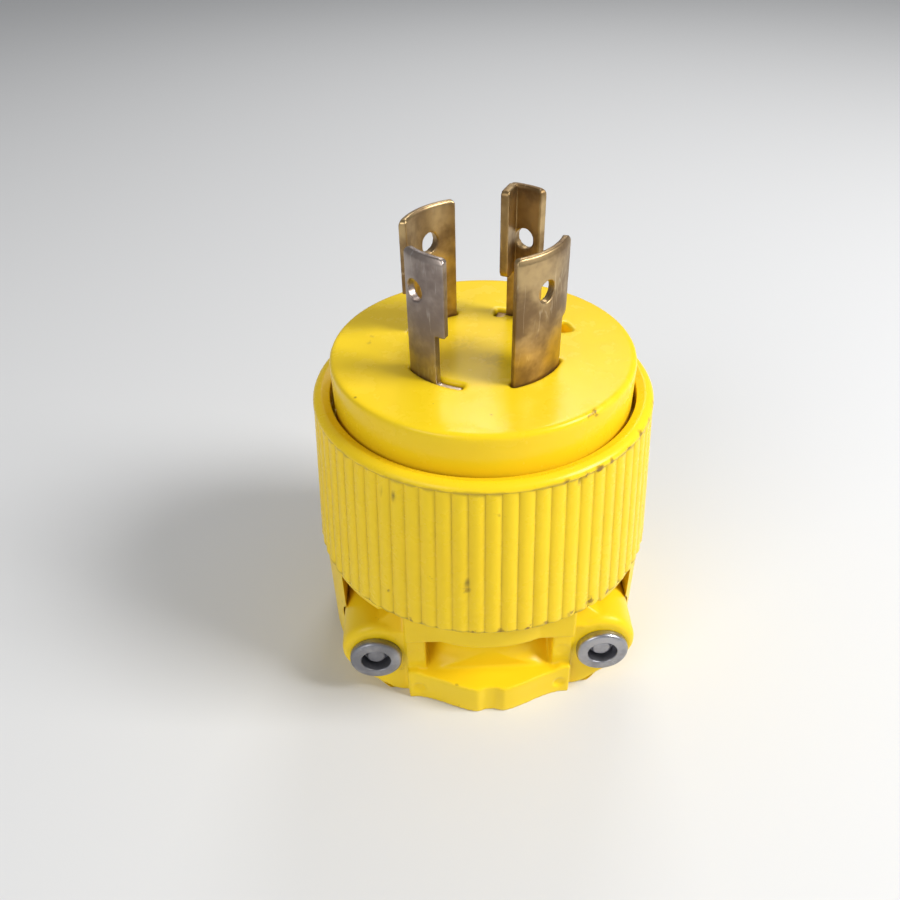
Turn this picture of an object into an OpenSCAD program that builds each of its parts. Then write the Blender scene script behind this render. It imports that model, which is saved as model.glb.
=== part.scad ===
// Locking power plug: four curved blades in a round face, a ribbed grip sleeve and a
// screw clamp for the cord. Lengths are in millimetres and angles in degrees.
// The plug stands on its cord end: +Z runs up the axis to the blades, the origin is on
// the axis at the resting plane, and the cord clamp faces -Y.

/* [Face] */
// Height of the face above the resting plane
face_z = 69; // [67:0.5:72]
// Diameter of the face insulator
face_d = 58; // [57:0.25:58.5]
// Rounding of the edge of the face
face_edge = 0.9; // [0.4:0.1:1.5]
// Thickness of the face plate
plate_t = 10; // [8.5:0.5:11]
// Depth of the rim that reaches down round the terminal block
rim_h = 4; // [3:0.5:5]
// Thickness of that rim
rim_t = 2.9; // [2.2:0.1:3]

/* [Blades] */
// Outside diameter of the circle that the blades lie on
blade_circle_d = 30.6; // [29.6:0.1:31.6]
// Thickness of a blade
blade_t = 1.55; // [1.3:0.05:1.7]
// Height of the line and neutral blades above the face
blade_h = 23.5; // [22:0.25:25]
// Height of the ground blade above the face
ground_h = 26.5; // [25:0.25:28]
// Height of the locking notch's upper edge above the face
hook_h = 9.2; // [8:0.2:10.5]
// Depth that the blade's root stays below the face
root_drop = 0.7; // [0.3:0.1:1.2]
// Height of the coined bevel at the tips
tip_bevel_h = 1; // [0.8:0.1:2]
// Depth of the coined bevel on the outer side
tip_bevel_t = 0.4; // [0.2:0.05:0.6]
// Corner radius at the tips
tip_corner = 0.9; // [0.4:0.1:1.5]
// Diameter of the hole through each blade
blade_hole_d = 3.9; // [3:0.1:4.6]
// Height of that hole above the face
blade_hole_h = 16.5; // [15:0.25:18]
// Angle of the trailing edge of the neutral blade
neutral_at = 206.7; // [204:0.1:209]
// Angle of the trailing edge of the first line blade
line_x_at = 287.7; // [285:0.1:290]
// Angle of the trailing edge of the second line blade
line_y_at = 108.2; // [106:0.1:111]
// Angle of the trailing edge of the ground blade
ground_at = 37.2; // [35:0.1:40]
// Arc of a line blade's neck, beside the notch
line_neck = 46.5; // [43:0.5:47.5]
// Arc of a line blade's head
line_head = 56.5; // [54:0.5:59]
// Arc of a line blade's root in its slot
line_root = 49; // [48:0.5:51]
// Arc from a line blade's trailing edge to its hole
line_hole = 24; // [20:0.5:28]
// Arc of the neutral blade's neck
neutral_neck = 27.5; // [25:0.5:30]
// Arc of the neutral blade's head
neutral_head = 35; // [33:0.5:38]
// Arc of the neutral blade's root in its slot
neutral_root = 45.5; // [43:0.5:47]
// Arc from the neutral blade's trailing edge to its hole
neutral_hole = 10.5; // [9:0.5:16]
// Arc of the ground blade
ground_arc = 29; // [26:0.5:31]
// Arc of the ground blade's root in its slot
ground_root = 37.5; // [36:0.5:39]
// Reach of the ground blade's locking lip towards the axis
lip_reach = 4.8; // [4:0.1:5.4]
// Height of the lip's lower edge above the face
lip_h = 9.6; // [8.5:0.1:11]
// Clearance of a slot round its blade
slot_gap = 0.15; // [0.1:0.05:0.2]
// Clearance at each end of a slot
slot_end_gap = 0.35; // [0.2:0.05:0.5]
// Depth of the small key pocket in the face
key_depth = 2.5; // [1.5:0.25:4]

/* [Terminals] */
// Diameter of the terminal block
block_d = 51.6; // [51:0.1:51.8]
// Height of the terminal block
block_h = 21; // [20:0.5:22]
// Distance of a terminal tab's inner side from the axis
tab_r = 19.5; // [19:0.1:19.9]
// Width of a terminal tab
tab_w = 9.2; // [8.6:0.1:10]
// Length of a terminal tab, below the face plate
tab_h = 15; // [14.5:0.25:17]
// Thickness of a clamp plate
clamp_plate_t = 1.2; // [0.9:0.1:1.3]
// Height of a clamp plate
clamp_plate_h = 9; // [8.6:0.1:9.6]
// Standing gap between a clamp plate and its tab
wire_gap = 0.9; // [0.6:0.1:1]
// Thread diameter of a terminal screw
terminal_screw_d = 4.8; // [4:0.1:5]
// Depth of a terminal screw below the face plate
terminal_screw_drop = 10; // [9.75:0.25:10.25]

/* [Sleeve] */
// Height of the sleeve's lower edge
sleeve_z = 27.65; // [26.65:0.25:29]
// Height of the sleeve's body, without the crown
sleeve_h = 32.65; // [31.5:0.25:33.5]
// Diameter over the ribs at the lower edge
sleeve_low_d = 70.2; // [69.6:0.1:72]
// Diameter over the ribs at the crown
sleeve_top_d = 65.8; // [65.2:0.1:67]
// Height of the rounded crown
crown_h = 1.3; // [0.8:0.1:1.8]
// Gap between the crown and the face insulator
mouth_gap = 0.75; // [0.5:0.05:0.9]
// Number of ribs
rib_n = 72; // [48:4:72]
// Depth of the grooves between the ribs
rib_depth = 0.42; // [0.3:0.02:0.8]
// Wall between the grooves and the bore at the crown
sleeve_wall = 3; // [2.6:0.1:3.2]
// Thickness of the ledge that carries the face insulator
ledge_t = 3; // [2:0.25:4]

/* [Housing] */
// Diameter of the housing
housing_d = 68.8; // [68:0.1:69.4]
// Rounding of the housing's lower edge
housing_edge = 2.5; // [1.5:0.25:3.5]
// Wall of the spigot
spigot_wall = 2.6; // [2:0.1:3]
// Clearance of the spigot in the sleeve
spigot_gap = 0.2; // [0.1:0.05:0.3]
// Height of the block round the cord hole
saddle_h = 20; // [19:0.5:21]
// Floor left under the cored pockets
core_floor = 4; // [3:0.5:6]

/* [Cord clamp] */
// Diameter of the cord hole
cord_d = 23; // [20:0.5:24.5]
// Distance of the jaw's parting face from the axis
parting_y = 9; // [8:0.25:10]
// Gap between the two halves of the clamp
parting_gap = 0.3; // [0.2:0.05:0.6]
// Clearance of the jaw in the housing
jaw_gap = 0.3; // [0.2:0.05:0.4]
// Height of the jaw
jaw_h = 23; // [22:0.25:23.5]
// Distance of the ears' front faces from the axis
ear_y = 26.5; // [25.5:0.25:27]
// Radius of an ear at its front
ear_r = 7.5; // [7:0.1:7.8]
// Rounding of an ear's front edge
ear_edge = 1.6; // [1:0.1:1.9]
// Distance between the clamp screws
clamp_pitch = 46.6; // [46:0.1:47]
// Height of the clamp screws
clamp_z = 12; // [11.5:0.1:12.5]
// Half width of the flange and the lip
flange_x = 17; // [16:0.25:17.5]
// Height of the lower flange
flange_h = 7.5; // [6.5:0.25:8]
// Distance of the flange's straight ends from the axis
flange_y = 28.5; // [28:0.1:29.5]
// Reach of the flange's bulge
flange_reach = 33.3; // [32:0.1:34]
// Rise of the flange towards its ends
pad_h = 0.8; // [0.3:0.1:1.2]
// Height of the upper lip's lower edge
lip_z = 18.5; // [17.5:0.25:19.5]
// Distance of the lip's straight ends from the axis
lip_y = 29.2; // [28.6:0.1:29.8]
// Reach of the lip's bulge
lip_bulge_y = 31.2; // [30.2:0.1:32]
// Radius of the lip's bulge
lip_bulge_r = 26; // [22:0.5:32]
// Distance of the web between flange and lip from the axis
web_y = 27; // [26.75:0.05:27.5]
// Half width of the scoop between flange and lip
scoop_x = 13; // [11:0.25:13.5]
// Distance from the axis of the round wall behind the scoop
hump_y = 27; // [26:0.25:28]
// Radius of that wall
hump_r = 15; // [14.5:0.25:16.5]
// Rounding between that wall and the flange
hump_edge = 5.5; // [4:0.25:6]
// Height of the jaw's front edge between an ear and the lip
shoulder_h = 18.6; // [17.5:0.1:19.5]

/* [Clamp fasteners] */
// Thread diameter of the clamp screws
clamp_screw_d = 4.17; // [3.8:0.01:4.4]
// Diameter of a clamp nut's flange
nut_d = 10.6; // [10:0.1:11]
// Thickness of that flange
nut_flange_t = 1.8; // [1.4:0.1:2.2]
// Diameter of the nut's open mouth
nut_mouth_d = 6; // [5.4:0.1:6.4]
// Depth of that mouth
nut_mouth_h = 3; // [2.5:0.1:3.8]
// Width across the corners of the nut's hexagon shank
nut_hex_d = 8; // [7.4:0.1:8.4]
// Length of that shank
nut_hex_h = 6; // [5:0.25:7]
// Depth of the screw's end inside the nut
screw_sink = 1.2; // [0.4:0.1:1.4]
// Diameter of a clamp screw's head
clamp_head_d = 7.8; // [7:0.1:8.2]
// Height of a clamp screw's head
clamp_head_h = 2.4; // [2:0.1:3]
// Distance of the head's seat from the axis
clamp_seat_y = 17; // [15:0.25:18.5]

/* [Assembly screws] */
// Distance of the assembly screws from the axis
assembly_r = 22; // [21.5:0.1:22.2]
// Thread diameter of the assembly screws
assembly_screw_d = 4.1; // [3.6:0.1:4.3]
// Diameter of their heads
assembly_head_d = 7; // [6.4:0.1:7.2]
// Height of their heads
assembly_head_h = 2.3; // [1.9:0.1:2.4]
// Length of an assembly screw under its head
assembly_len = 36.5; // [35:0.5:37.5]

/* [Hidden] */
$fn = 96;

// Cutters reach this far past the solid that they cut, and joined solids go this far into
// each other.
over = 2;
bite = 1;
// Running clearance of a thread in its tapped hole, and of a shank in a plain hole.
thread_gap = 0.04;
shank_gap = 0.25;
// Clearance of the terminals in the block, and of the block in the rim.
pocket_gap = 0.5;
block_gap = 0.3;

face_r = face_d/2;
rim_r = face_r - rim_t;
plate_z = face_z - plate_t;
rim_z = plate_z - rim_h;

blade_out = blade_circle_d/2;
blade_in = blade_out - blade_t;
root_z = face_z - root_drop;
hook_z = face_z + hook_h;
// Each blade: angle of the trailing edge, then the arcs of neck, head and root, its height,
// and the arc from the trailing edge to its hole.
NEUTRAL = [neutral_at, neutral_neck, neutral_head, neutral_root, blade_h, neutral_hole];
LINE_X = [line_x_at, line_neck, line_head, line_root, blade_h, line_hole];
LINE_Y = [line_y_at, line_neck, line_head, line_root, blade_h, line_hole];
GROUND = [ground_at, ground_arc, ground_arc, ground_root, ground_h, ground_arc/2];
BLADES = [NEUTRAL, LINE_X, LINE_Y, GROUND];
// Arc that a cutter goes on past a blade's edge, and the overlap of what joins the strip.
clear_arc = 4;
lap = 0.3;
// Centre of a coined corner's round, nearer to the edges than its radius by this much.
coining = 0.05;
// The ground blade's root has a foot towards the axis over the last part of its arc.
foot_arc = 6.5;
foot_reach = 1.3;
// The lip is cut in from the tip and its lower corner is rounded.
lip_corner = 1.6;
// The key pocket beside the slots: its arc and its inner and outer radius.
key_from = 14.7;
key_to = 27;
key_in = blade_out + 0.9;
key_out = key_in + 2.6;
// The blind holes in the face plate go on past the assembly screws' points by this much.
tip_clear = 1.7;

block_r = block_d/2;
block_z = plate_z - block_h;
tab_out = tab_r + blade_t;
tab_z = plate_z - tab_h;
// Inner end of a terminal pocket, and the reach of the tapped screw behind its tab.
screw_reach = 3.3;
pocket_in = tab_r - screw_reach;
plate_in = tab_out + wire_gap;
plate_out = plate_in + clamp_plate_t;
terminal_z = plate_z - terminal_screw_drop;
terminal_head_r = 4;
terminal_head_h = 2.2;
// Bevel at a screw's point, and the bevel of a screw's head: width and height.
point_bevel = 0.6;
head_bevel = [1.3, 0.9];
drive_w = 1.1;
drive_h = 1;

sleeve_top = sleeve_z + sleeve_h;
sleeve_top_r = sleeve_top_d/2;
sleeve_low_r = sleeve_low_d/2;
mouth_r = face_r + mouth_gap;
sleeve_bore_r = sleeve_top_r - rib_depth - sleeve_wall;
ledge_r = block_r + block_gap;
ledge_z = rim_z - ledge_t;
// Flat sides that make up one rib.
rib_steps = 6;
// The crown's highest circle lies this share of its width in from the outer edge, and its
// inner edge stands at this share of its height.
crown_outer = 0.55;
crown_inner = 0.55;
// The ribs end under the crown's edge: its height, and how far it stands out past them.
crown_band = 0.2;
crown_proud = 0.12;

housing_r = housing_d/2;
spigot_r = sleeve_bore_r - spigot_gap;
cavity_r = spigot_r - spigot_wall;
// The spigot and the screw pillars reach up to the terminal block.
spigot_z = block_z;
// The wall between the jaw's space and the wiring space, and the thinner shoulder above
// the ears.
ceiling_t = 5;
ceiling_z = jaw_h + jaw_gap + ceiling_t;
shoulder_t = 1.65;
saddle_wall = 3;
core_wall = 3;
pillar_wall = 2.1;
pillar_r = assembly_head_d/2 + pillar_wall;
seat_drop = 0.5;
assembly_seat_z = ceiling_z - seat_drop;
// The slot above an ear is narrower on each side than the ear's groove by this much.
slot_step = 0.6;

// Centre of an ear's round against its screw, and the wider round behind the ear.
ear_inset = 0.5;
ear_rise = 0.7;
ear_widening = 0.3;
ear_x = clamp_pitch/2 - ear_inset;
ear_z = clamp_z + ear_rise;
ear_r_back = ear_r + ear_widening;
jaw_back = parting_y + parting_gap/2;
housing_parting = parting_y - parting_gap/2;
// The lip stands up to the sleeve, with this gap below it.
lip_gap = 0.35;
lip_top = sleeve_z - lip_gap;
// Half width of the jaw's foot, and the slope from it up to the lower side of the ears.
foot_step = 1.5;
foot_x = flange_x + foot_step;
slope_start = [1.7, 0.7];
slope_end = [3.4, -6.5];
// The flange rises over this width outside the scoop. Ejector pins leave their marks on
// its front and on the web.
pad_rise = 2;
outline_steps = 16;
pin_mark_r = 1.3;
pin_mark_in = 2.2;
pin_mark_x = flange_x - pin_mark_in;
pin_mark_z = 3.4;
web_mark_r = 1.7;
web_mark_in = 1.9;
web_mark_x = flange_x - web_mark_in;
web_mark_z = clamp_z;
mark_depth = 0.3;
// The rounding dips below the flange's top by this much, so that it meets it in an edge.
hump_sink = 0.15;
// Half width and depth of the shallow groove in the middle of the flange.
groove_x = 2.5;
groove_depth = 0.5;
nut_gap = 0.12;
nut_edge = 0.7;
screw_tip = 0.8;

YELLOW = "gold";
STEEL = "lightsteelblue";
BRASS = "darkgoldenrod";

// Points of an arc about a centre, from one angle to the other.
function arc(centre, r, from, to, n = 8) =
  [for (i = [0:n]) let (a = from + (to - from)*i/n) centre + r*[cos(a), sin(a)]];

// An outline's right half, completed by its mirror image in the Y axis.
function mirrored(points) =
  concat(points, [for (i = [len(points) - 1:-1:0]) [-points[i][0], points[i][1]]]);

// A block of a ring: radii, angles and heights.
module ring_block(r_in, r_out, from, to, z_low, z_high)
  rotate([0, 0, from])
    rotate_extrude(angle = to - from)
      translate([r_in, z_low]) square([r_out - r_in, z_high - z_low]);

// A solid of revolution about an axis that points to -Y, from points [radius, distance].
module turned_to_front(x, z, points)
  translate([x, 0, z]) rotate([90, 0, 0]) rotate_extrude() polygon(points);

// A cylinder along Y between two distances in front of the axis.
module front_bore(x, z, r, from, to)
  translate([x, -from, z]) rotate([90, 0, 0]) cylinder(r = r, h = to - from);

// ---- Face and blades ----

// Middle angle of a blade's root, where its terminal is.
function terminal_angle(b) = b[0] + b[3]/2;

// The slot for one blade, as wide as the blade's root.
module slot(b, z_low, z_high) {
  end = slot_end_gap/blade_out*180/PI;
  ring_block(blade_in - slot_gap, blade_out + slot_gap, b[0] - end, b[0] + b[3] + end,
             z_low, z_high);
}

// The ground blade's slot, whose last part turns towards the axis.
module ground_slot(z_low, z_high) {
  end = slot_end_gap/blade_out*180/PI;
  last = ground_at + ground_root;
  foot_in = blade_in - foot_reach - slot_gap;
  difference() {
    ring_block(foot_in, blade_out + slot_gap, ground_at - end, last + end, z_low, z_high);
    ring_block(foot_in - over, blade_in - slot_gap, ground_at - clear_arc,
               last - foot_arc - end, z_low - over, z_high + over);
  }
}

module face_insulator() color(YELLOW) difference() {
  rotate_extrude() polygon(concat(
    [[0, plate_z], [rim_r, plate_z], [rim_r, rim_z], [face_r, rim_z]],
    arc([face_r - face_edge, face_z - face_edge], face_edge, 0, 90),
    [[0, face_z]]));
  for (b = [NEUTRAL, LINE_X, LINE_Y]) slot(b, plate_z - over, face_z + over);
  ground_slot(plate_z - over, face_z + over);
  ring_block(key_in, key_out, key_from, key_to, face_z - key_depth, face_z + over);
  for (y = [-assembly_r, assembly_r])
    translate([0, y, plate_z - over])
      cylinder(d = assembly_screw_d + 2*thread_gap,
               h = assembly_seat_z + assembly_len + tip_clear - plate_z + over);
}

// One corner of a blade's tip is cut away outside a radius. side is 1 where the blade
// lies counter-clockwise of the corner, and -1 where it lies clockwise. The round meets the
// blade's edge at a slight angle, as a coined corner does.
module tip_corner_cut(angle, top, side)
  rotate([0, 0, angle]) translate([blade_in - over, 0, top - tip_corner]) difference() {
    translate([0, side > 0 ? -over : -tip_corner, 0])
      cube([blade_t + 2*over, tip_corner + over, tip_corner + over]);
    translate([-over, side*(tip_corner - coining), -coining]) rotate([0, 90, 0])
      cylinder(r = tip_corner, h = blade_t + 4*over);
  }

// The curved strip of one blade: root, neck and hooked head, bevelled at the tip.
module blade_strip(b) {
  widest = max(b[2], b[3]);
  beyond = widest + clear_arc;
  top = face_z + b[4];
  foot_z = plate_z - blade_t;
  difference() {
    rotate([0, 0, b[0]]) rotate_extrude(angle = widest) polygon([
      [blade_in, foot_z], [blade_out, foot_z], [blade_out, top - tip_bevel_h],
      [blade_out - tip_bevel_t, top], [blade_in + tip_bevel_t/2, top],
      [blade_in, top - tip_bevel_h/2]]);
    ring_block(blade_in - over, blade_out + over, b[0] + b[1], b[0] + beyond, root_z, hook_z);
    if (b[2] < widest)
      ring_block(blade_in - over, blade_out + over, b[0] + b[2], b[0] + beyond,
                 hook_z - over, top + over);
    if (b[3] < widest)
      ring_block(blade_in - over, blade_out + over, b[0] + b[3], b[0] + beyond,
                 foot_z - over, root_z + over);
    tip_corner_cut(b[0], top, 1);
    tip_corner_cut(b[0] + b[2], top, -1);
    rotate([0, 0, b[0] + b[5]]) translate([blade_in - over, 0, face_z + blade_hole_h])
      rotate([0, 90, 0]) cylinder(d = blade_hole_d, h = blade_t + 2*over);
  }
}

// The foot and the terminal tab, bent out and down below the face plate.
module terminal_tab(b)
  rotate([0, 0, terminal_angle(b)]) difference() {
    translate([0, tab_w/2, 0]) rotate([90, 0, 0]) linear_extrude(tab_w) polygon([
      [blade_in + lap, plate_z - blade_t], [tab_r, plate_z - blade_t], [tab_r, tab_z],
      [tab_out, tab_z], [tab_out, plate_z], [blade_in + lap, plate_z]]);
    translate([tab_r - over, 0, terminal_z]) rotate([0, 90, 0])
      cylinder(d = terminal_screw_d + 2*thread_gap, h = blade_t + 2*over);
  }

module blade(b) {
  blade_strip(b);
  terminal_tab(b);
}

// The radial lip at the ground blade's leading edge, with its lower corner rounded.
module ground_lip() {
  top = face_z + ground_h;
  low = face_z + lip_h;
  inner = blade_in + lap - lip_reach;
  rotate([0, 0, ground_at + ground_arc]) rotate([90, 0, 0]) linear_extrude(blade_t)
    polygon(concat(
      [[blade_in + lap, low]],
      arc([inner + lip_corner, low + lip_corner], lip_corner, 270, 180, 6),
      arc([inner + tip_corner, top - tip_corner], tip_corner, 180, 90, 4),
      [[blade_in + lap, top]]));
}

module blade_neutral() color(STEEL) blade(NEUTRAL);

module blade_line_x() color(BRASS) blade(LINE_X);

module blade_line_y() color(BRASS) blade(LINE_Y);

module blade_ground() color(BRASS) {
  last = ground_at + ground_root;
  blade(GROUND);
  ground_lip();
  ring_block(blade_in - foot_reach, blade_in + lap, last - foot_arc, last, plate_z, root_z);
}

// ---- Terminals ----

module terminal_block() color("dimgray") difference() {
  translate([0, 0, block_z]) cylinder(r = block_r, h = block_h);
  for (b = BLADES) {
    slot(b, plate_z - blade_t, plate_z + over);
    rotate([0, 0, terminal_angle(b)]) {
      translate([pocket_in, -tab_w/2 - pocket_gap, block_z - over])
        cube([block_r, tab_w + 2*pocket_gap, block_h + 2*over]);
      translate([blade_in + lap, -tab_w/2 - pocket_gap/2, plate_z - blade_t])
        cube([block_r/2, tab_w + pocket_gap, blade_t + over]);
    }
  }
  for (y = [-assembly_r, assembly_r])
    translate([0, y, block_z - over])
      cylinder(d = assembly_screw_d + 2*shank_gap, h = block_h + 2*over);
}

// A pressed plate on the screw, with a lip at the top that stands on the tab.
module terminal_clamp(b)
  rotate([0, 0, terminal_angle(b)]) {
    low = terminal_z - clamp_plate_h/2;
    high = terminal_z + clamp_plate_h/2;
    difference() {
      translate([0, tab_w/2, 0]) rotate([90, 0, 0]) linear_extrude(tab_w) polygon([
        [plate_in, low], [plate_out, low], [plate_out, high], [tab_out, high],
        [tab_out, high - clamp_plate_t], [plate_in, high - clamp_plate_t]]);
      translate([tab_out - over, 0, terminal_z]) rotate([0, 90, 0])
        cylinder(d = terminal_screw_d + 2*shank_gap, h = plate_out - tab_out + 2*over);
    }
  }

module terminal_screw(b)
  rotate([0, 0, terminal_angle(b)]) translate([0, 0, terminal_z]) rotate([0, 90, 0])
    difference() {
      screw_end = pocket_in + pocket_gap;
      head_end = plate_out + terminal_head_h;
      rotate_extrude() polygon([
        [0, screw_end], [terminal_screw_d/2 - point_bevel, screw_end],
        [terminal_screw_d/2, screw_end + point_bevel], [terminal_screw_d/2, plate_out],
        [terminal_head_r, plate_out], [terminal_head_r, head_end - head_bevel[1]],
        [terminal_head_r - head_bevel[0], head_end], [0, head_end]]);
      translate([-terminal_head_r - over, -drive_w/2, head_end - drive_h])
        cube([2*(terminal_head_r + over), drive_w, drive_h + over]);
    }

module terminal_clamp_neutral() color(STEEL) terminal_clamp(NEUTRAL);
module terminal_clamp_line_x() color(BRASS) terminal_clamp(LINE_X);
module terminal_clamp_line_y() color(BRASS) terminal_clamp(LINE_Y);
module terminal_clamp_ground() color(BRASS) terminal_clamp(GROUND);
module terminal_screw_neutral() color(STEEL) terminal_screw(NEUTRAL);
module terminal_screw_line_x() color(BRASS) terminal_screw(LINE_X);
module terminal_screw_line_y() color(BRASS) terminal_screw(LINE_Y);
module terminal_screw_ground() color("green") terminal_screw(GROUND);

// ---- Sleeve ----

// Radius of the ribbed outline: each rib is a parabola between two sharp grooves.
function rib_radius(t) = sleeve_low_r - rib_depth*pow(2*(t - floor(t)) - 1, 2);

module ribbed_sleeve() color(YELLOW) difference() {
  union() {
    // Ribs are widest at the lower edge and narrow evenly to the crown.
    translate([0, 0, sleeve_z])
      linear_extrude(height = sleeve_h, scale = sleeve_top_d/sleeve_low_d)
        polygon([for (i = [0:rib_n*rib_steps - 1])
          let (a = 360*(i/rib_steps - 0.5)/rib_n) rib_radius(i/rib_steps)*[cos(a), sin(a)]]);
    rotate_extrude() polygon(crown_profile());
  }
  translate([0, 0, sleeve_z - over])
    cylinder(r = sleeve_bore_r, h = ledge_z - sleeve_z + over);
  translate([0, 0, sleeve_z]) cylinder(r = ledge_r, h = sleeve_h);
  translate([0, 0, rim_z]) cylinder(r = mouth_r, h = sleeve_h);
}

// The crown closes the grooves at the top, and its inner edge is eased.
function crown_profile() =
  let (low = sleeve_top - crown_band, root = sleeve_top_r + crown_proud,
       width = root - mouth_r)
  concat(
    [[mouth_r - over, low], [root, low]],
    [for (a = [0:90/8:90])
      [root - width*crown_outer*(1 - cos(a)), sleeve_top + crown_h*sin(a)]],
    [for (a = [75:-15:0])
      [mouth_r + width*(1 - crown_outer)*sin(a),
       sleeve_top + crown_h*(crown_inner + (1 - crown_inner)*sin(a))]],
    [[mouth_r - over, sleeve_top + crown_h*crown_inner]]);

// ---- Housing and cord clamp ----

// The jaw's outline from the front, between the ears: grow widens it for the housing.
function jaw_outline(grow) = mirrored([
  [foot_x + grow, -grow], [foot_x + slope_start[0] + grow, slope_start[1] - grow],
  [ear_x + slope_end[0] + grow/2, ear_z + slope_end[1] - grow/2], [ear_x, ear_z],
  [ear_x, ear_z + ear_r - 0.1 + grow], [flange_x, jaw_h + grow]]);

// One ear: a slightly tapered round bar from the parting face to its rounded front.
module ear(side)
  turned_to_front(side*ear_x, ear_z, concat(
    [[0, jaw_back], [ear_r_back, jaw_back]],
    arc([ear_r - ear_edge, ear_y - ear_edge], ear_edge, 0, 90),
    [[0, ear_y]]));

// The space that the housing leaves for the jaw.
module jaw_space() {
  for (side = [-1, 1])
    turned_to_front(side*ear_x, ear_z, [
      [0, housing_parting], [ear_r_back + jaw_gap, housing_parting],
      [ear_r + jaw_gap, ear_y], [ear_r + jaw_gap, housing_r + over],
      [0, housing_r + over]]);
  for (side = [-1, 1])
    translate([side*ear_x - ear_r + slot_step, -housing_r - over, ear_z])
      cube([2*(ear_r - slot_step), housing_r + over - housing_parting,
            sleeve_z - shoulder_t - ear_z]);
  translate([0, -housing_parting, 0]) rotate([90, 0, 0])
    linear_extrude(housing_r - housing_parting + over) polygon(jaw_outline(jaw_gap));
  translate([-foot_x - jaw_gap, -housing_r - over, -over])
    cube([2*(foot_x + jaw_gap), housing_r + over - housing_parting, over + bite]);
}

// A flat shelf of the jaw: straight ends and a round bulge in the middle.
module shelf(y_ends, y_bulge, bulge_r, z_low, z_high)
  translate([0, 0, z_low]) linear_extrude(z_high - z_low) {
    translate([-flange_x, -y_ends]) square([2*flange_x, y_ends - jaw_back]);
    intersection() {
      translate([0, bulge_r - y_bulge]) circle(r = bulge_r);
      translate([-flange_x, -y_bulge - over])
        square([2*flange_x, y_bulge + over - jaw_back - bite]);
    }
  }

// The scoop between the flange and the lip. Behind it a round wall stands about the cord
// and flares out to the flange.
module scoop() difference() {
  back_y = hump_y - hump_r + saddle_wall;
  translate([-scoop_x, -housing_r - over, flange_h])
    cube([2*scoop_x, housing_r + over - back_y, lip_z - flange_h]);
  translate([0, hump_r - hump_y, 0]) rotate_extrude() polygon(concat(
    [[0, 0], [hump_r + hump_edge, 0]],
    arc([hump_r + hump_edge, flange_h + hump_edge - hump_sink], hump_edge, 270, 180, 12),
    [[hump_r, jaw_h], [0, jaw_h]]));
}

// Reach of the flange at a distance from its middle: an ogee from the ends to the bulge.
function ogee(x) =
  flange_y + (flange_reach - flange_y)*(1 + cos(180*x/flange_x))/2;

// Height of the flange at a distance from its middle: it rises outside the scoop.
function flange_rise(x) =
  let (share = min(1, max(0, (abs(x) - scoop_x)/pad_rise)))
  flange_h + pad_h*(1 - cos(180*share))/2;

module flange() intersection() {
  steps = [for (i = [-outline_steps:outline_steps]) flange_x*i/outline_steps];
  linear_extrude(jaw_h) polygon(concat(
    [for (x = steps) [x, -ogee(x)]],
    [[flange_x, -jaw_back - bite], [-flange_x, -jaw_back - bite]]));
  translate([0, -jaw_back, 0]) rotate([90, 0, 0]) linear_extrude(housing_r)
    polygon(concat(
      [[-flange_x - over, 0], [-flange_x - over, flange_h + pad_h]],
      [for (x = steps) [x, flange_rise(x)]],
      [[flange_x + over, flange_h + pad_h], [flange_x + over, 0]]));
}

// The lip, with its upstand in front of the housing.
module lip() {
  shelf(lip_y, lip_bulge_y, lip_bulge_r, lip_z, jaw_h);
  intersection() {
    shelf(lip_y, lip_bulge_y, lip_bulge_r, jaw_h - bite, lip_top);
    translate([-housing_r, -housing_r - over, 0])
      cube([2*housing_r, housing_r + over - ear_y - jaw_gap, lip_top + over]);
  }
}

// The middle of the jaw between its ears, sloped off at its front edge beside the lip.
module jaw_middle() intersection() {
  translate([0, -jaw_back, 0]) rotate([90, 0, 0])
    linear_extrude(ear_y - jaw_back) polygon(jaw_outline(0));
  rise = jaw_h - shoulder_h;
  translate([-housing_r, 0, 0]) rotate([90, 0, 90]) linear_extrude(2*housing_r) polygon([
    [-ear_y - over, -over], [-ear_y - over, shoulder_h - over],
    [-ear_y, shoulder_h], [-ear_y + rise, jaw_h], [-ear_y + rise + over, jaw_h + over],
    [0, jaw_h + over], [0, -over]]);
}

module clamp_jaw() color(YELLOW) difference() {
  union() {
    for (side = [-1, 1]) ear(side);
    jaw_middle();
    translate([-flange_x, -web_y, 0]) cube([2*flange_x, web_y - jaw_back - bite, jaw_h]);
    flange();
    lip();
  }
  scoop();
  translate([0, 0, -over]) cylinder(d = cord_d, h = jaw_h + 2*over);
  translate([-groove_x, -flange_reach - over, -over])
    cube([2*groove_x, over + groove_depth, flange_h + 2*over]);
  for (side = [-1, 1]) {
    front_bore(side*clamp_pitch/2, clamp_z, clamp_screw_d/2 + shank_gap, 0, ear_y + over);
    translate([side*clamp_pitch/2, -ear_y + nut_hex_h + nut_gap, clamp_z]) rotate([90, 30, 0])
      cylinder(d = nut_hex_d + 2*nut_gap, h = nut_hex_h + nut_gap + over, $fn = 6);
    front_bore(side*pin_mark_x, pin_mark_z, pin_mark_r, flange_y - mark_depth, flange_y + bite);
    front_bore(side*web_mark_x, web_mark_z, web_mark_r, web_y - mark_depth/2, web_y + 0.5);
  }
}

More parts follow.
